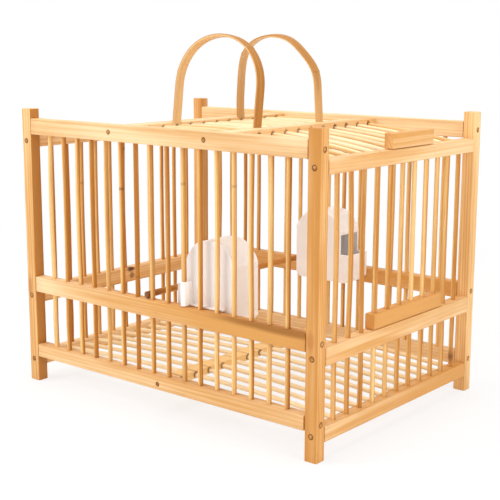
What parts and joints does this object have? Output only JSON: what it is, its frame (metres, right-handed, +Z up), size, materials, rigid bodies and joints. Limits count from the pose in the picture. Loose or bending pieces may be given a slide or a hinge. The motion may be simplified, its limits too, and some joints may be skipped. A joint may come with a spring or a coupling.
{
  "type": "bird cage",
  "caption": "Rectangular bamboo bird cage with pegged rails, stick walls, a lifting door, bent strip carrying handles on the roof, hooded plastic feeders and a loose perch.",
  "frame": {"origin": "centre of the four feet on the ground", "axes": "+X along the length towards the side with the lifting door, +Y across the depth towards the back, +Z up"},
  "size_m": [0.394, 0.284, 0.3822],
  "materials": {
    "post_wood": "planed and lacquered",
    "rail_wood": "planed and lacquered",
    "stick_bamboo": "planed and lacquered",
    "peg_bamboo": "planed and lacquered",
    "handle_strip_bamboo": "planed and lacquered",
    "feeder_plastic": "moulded"
  },
  "bodies": {
    "cage": {"back_bottom_rail": "rail_wood", "back_middle_rail": "rail_wood", "back_sticks": "stick_bamboo", "back_top_rail": "rail_wood", "floor_beam": "rail_wood", "floor_beam_pegs": "peg_bamboo", "floor_sticks": "stick_bamboo", "front_bottom_rail": "rail_wood", "front_handle_strip": "handle_strip_bamboo", "front_middle_rail": "rail_wood", "front_sticks": "stick_bamboo", "front_top_rail": "rail_wood", "left_bottom_rail": "rail_wood", "left_middle_rail": "rail_wood", "left_sticks": "stick_bamboo", "left_top_rail": "rail_wood", "long_rail_pegs": "peg_bamboo", "post_back_left": "post_wood", "post_back_right": "post_wood", "post_front_left": "post_wood", "post_front_right": "post_wood", "rear_handle_strip": "handle_strip_bamboo", "right_back_sticks": "stick_bamboo", "right_bottom_rail": "rail_wood", "right_front_sticks": "stick_bamboo", "right_low_sticks": "stick_bamboo", "right_middle_rail": "rail_wood", "right_top_rail": "rail_wood", "roof_beam_left": "rail_wood", "roof_beam_pegs": "peg_bamboo", "roof_beam_right": "rail_wood", "roof_sticks": "stick_bamboo", "side_rail_pegs": "peg_bamboo"},
    "door": {"door_sticks": "stick_bamboo", "door_foot_block": "rail_wood", "door_grip_block": "rail_wood"},
    "front_feeder": {"front_feeder": "feeder_plastic"},
    "back_feeder": {"back_feeder": "feeder_plastic"},
    "perch": {"perch": "stick_bamboo"}
  },
  "joints": [
    {"name": "door_lift", "type": "slide", "parent": "cage", "child": "door", "axis": [0, 0, 1], "range_m": [0, 0.138]},
    {"name": "front_feeder_lift", "type": "slide", "parent": "cage", "child": "front_feeder", "axis": [0, 0, 1], "range_m": [0, 0.08]},
    {"name": "back_feeder_lift", "type": "slide", "parent": "cage", "child": "back_feeder", "axis": [0, 0, 1], "range_m": [0, 0.08]},
    {"name": "perch_lift", "type": "slide", "parent": "cage", "child": "perch", "axis": [0, 0, 1], "range_m": [0, 0.135]}
  ]
}
